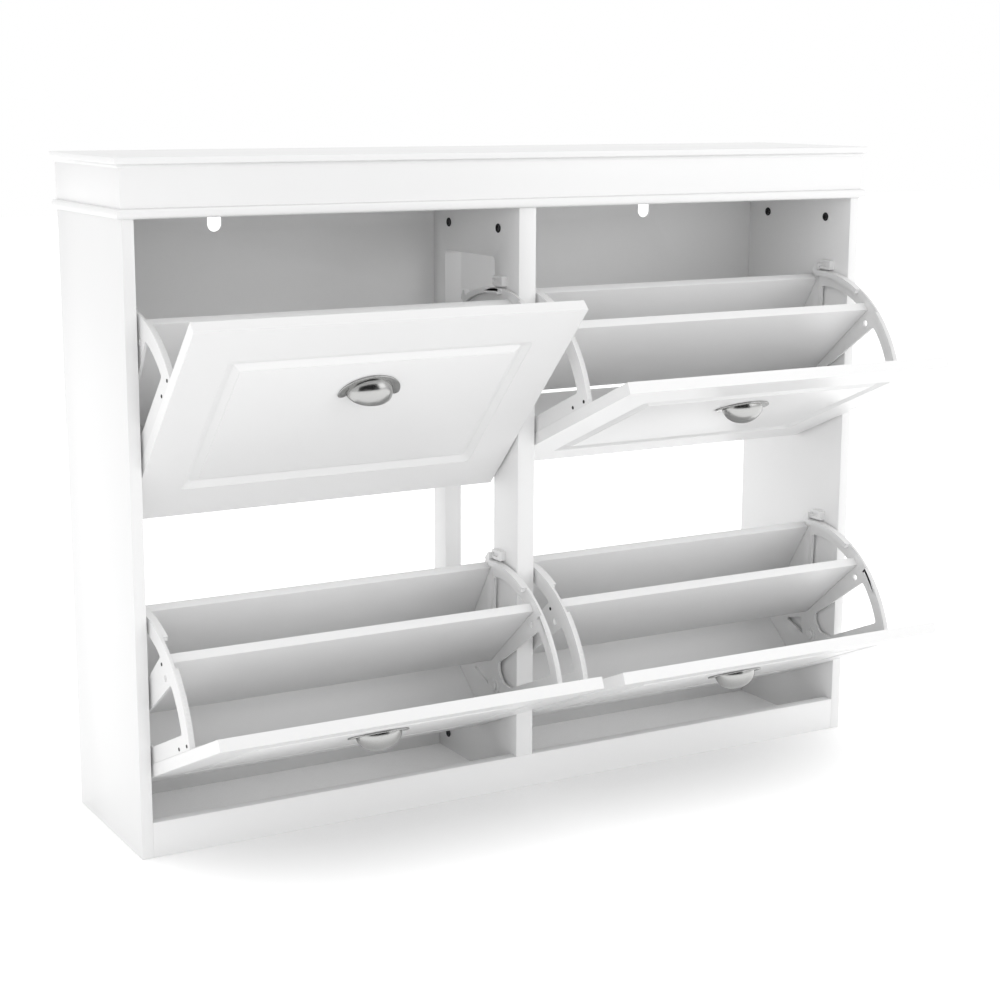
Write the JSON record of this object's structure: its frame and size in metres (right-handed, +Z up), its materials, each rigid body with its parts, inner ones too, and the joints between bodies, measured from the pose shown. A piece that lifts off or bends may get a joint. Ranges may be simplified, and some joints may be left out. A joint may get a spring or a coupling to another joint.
{
  "type": "shoe cabinet",
  "caption": "Slim white shoe cabinet with tip-out compartments shown pulled open, moulded top, routed door fronts, cup handles, fan-shaped side brackets and an open centre divider.",
  "frame": {"origin": "on the floor, under the middle of the whole object as shown, open compartments included", "axes": "+X to the cabinet's right as seen from the front, +Y from the front to the back (wall side), +Z up"},
  "size_m": [1.1, 0.4576, 0.85],
  "materials": {
    "white_board": "satin white lacquered board",
    "white_foil": "semi-gloss white foil over a routed board",
    "grey_white_plastic": "satin moulded plastic",
    "satin_nickel": "satin nickel plate",
    "black_plastic": "matte black cap"
  },
  "bodies": {
    "case": {"back_panel": "white_board", "back_rail_left": "white_board", "back_rail_right": "white_board", "cap_left_front": "black_plastic", "cap_left_rear": "black_plastic", "cap_right_front": "black_plastic", "cap_right_rear": "black_plastic", "centre_divider": "white_board", "divider_bolt_front": "black_plastic", "divider_bolt_rear": "black_plastic", "frieze": "white_board", "lower_axle_centre": "grey_white_plastic", "lower_left_stop_left": "grey_white_plastic", "lower_left_stop_right": "grey_white_plastic", "lower_pin_left": "grey_white_plastic", "lower_pin_right": "grey_white_plastic", "lower_right_stop_left": "grey_white_plastic", "lower_right_stop_right": "grey_white_plastic", "plinth": "white_board", "side_panel_left": "white_board", "side_panel_right": "white_board", "top_board": "white_board", "top_slab": "white_board", "upper_axle_centre": "grey_white_plastic", "upper_left_stop_left": "grey_white_plastic", "upper_left_stop_right": "grey_white_plastic", "upper_pin_left": "grey_white_plastic", "upper_pin_right": "grey_white_plastic", "upper_right_stop_left": "grey_white_plastic", "upper_right_stop_right": "grey_white_plastic"},
    "upper_left_unit": {"upper_left_bracket_left": "grey_white_plastic", "upper_left_bracket_right": "grey_white_plastic", "upper_left_door": "white_foil", "upper_left_floor_board": "white_board", "upper_left_handle": "satin_nickel", "upper_left_middle_board": "white_board", "upper_left_rear_board": "white_board"},
    "upper_right_unit": {"upper_right_bracket_left": "grey_white_plastic", "upper_right_bracket_right": "grey_white_plastic", "upper_right_door": "white_foil", "upper_right_floor_board": "white_board", "upper_right_handle": "satin_nickel", "upper_right_middle_board": "white_board", "upper_right_rear_board": "white_board"},
    "lower_left_unit": {"lower_left_bracket_left": "grey_white_plastic", "lower_left_bracket_right": "grey_white_plastic", "lower_left_door": "white_foil", "lower_left_floor_board": "white_board", "lower_left_handle": "satin_nickel", "lower_left_middle_board": "white_board", "lower_left_rear_board": "white_board"},
    "lower_right_unit": {"lower_right_bracket_left": "grey_white_plastic", "lower_right_bracket_right": "grey_white_plastic", "lower_right_door": "white_foil", "lower_right_floor_board": "white_board", "lower_right_handle": "satin_nickel", "lower_right_middle_board": "white_board", "lower_right_rear_board": "white_board"}
  },
  "joints": [
    {"name": "upper_left_hinge", "type": "hinge", "parent": "case", "child": "upper_left_unit", "pos_m": [-0.26975, 0.03677, 0.5], "axis": [1, 0, 0], "range_deg": [-43.2, 23.3]},
    {"name": "upper_right_hinge", "type": "hinge", "parent": "case", "child": "upper_right_unit", "pos_m": [0.26975, 0.03677, 0.5], "axis": [1, 0, 0], "range_deg": [-66.5, 0]},
    {"name": "lower_left_hinge", "type": "hinge", "parent": "case", "child": "lower_left_unit", "pos_m": [-0.26975, 0.03677, 0.134], "axis": [1, 0, 0], "range_deg": [-66.5, 0]},
    {"name": "lower_right_hinge", "type": "hinge", "parent": "case", "child": "lower_right_unit", "pos_m": [0.26975, 0.03677, 0.134], "axis": [1, 0, 0], "range_deg": [-66.5, 0]}
  ]
}
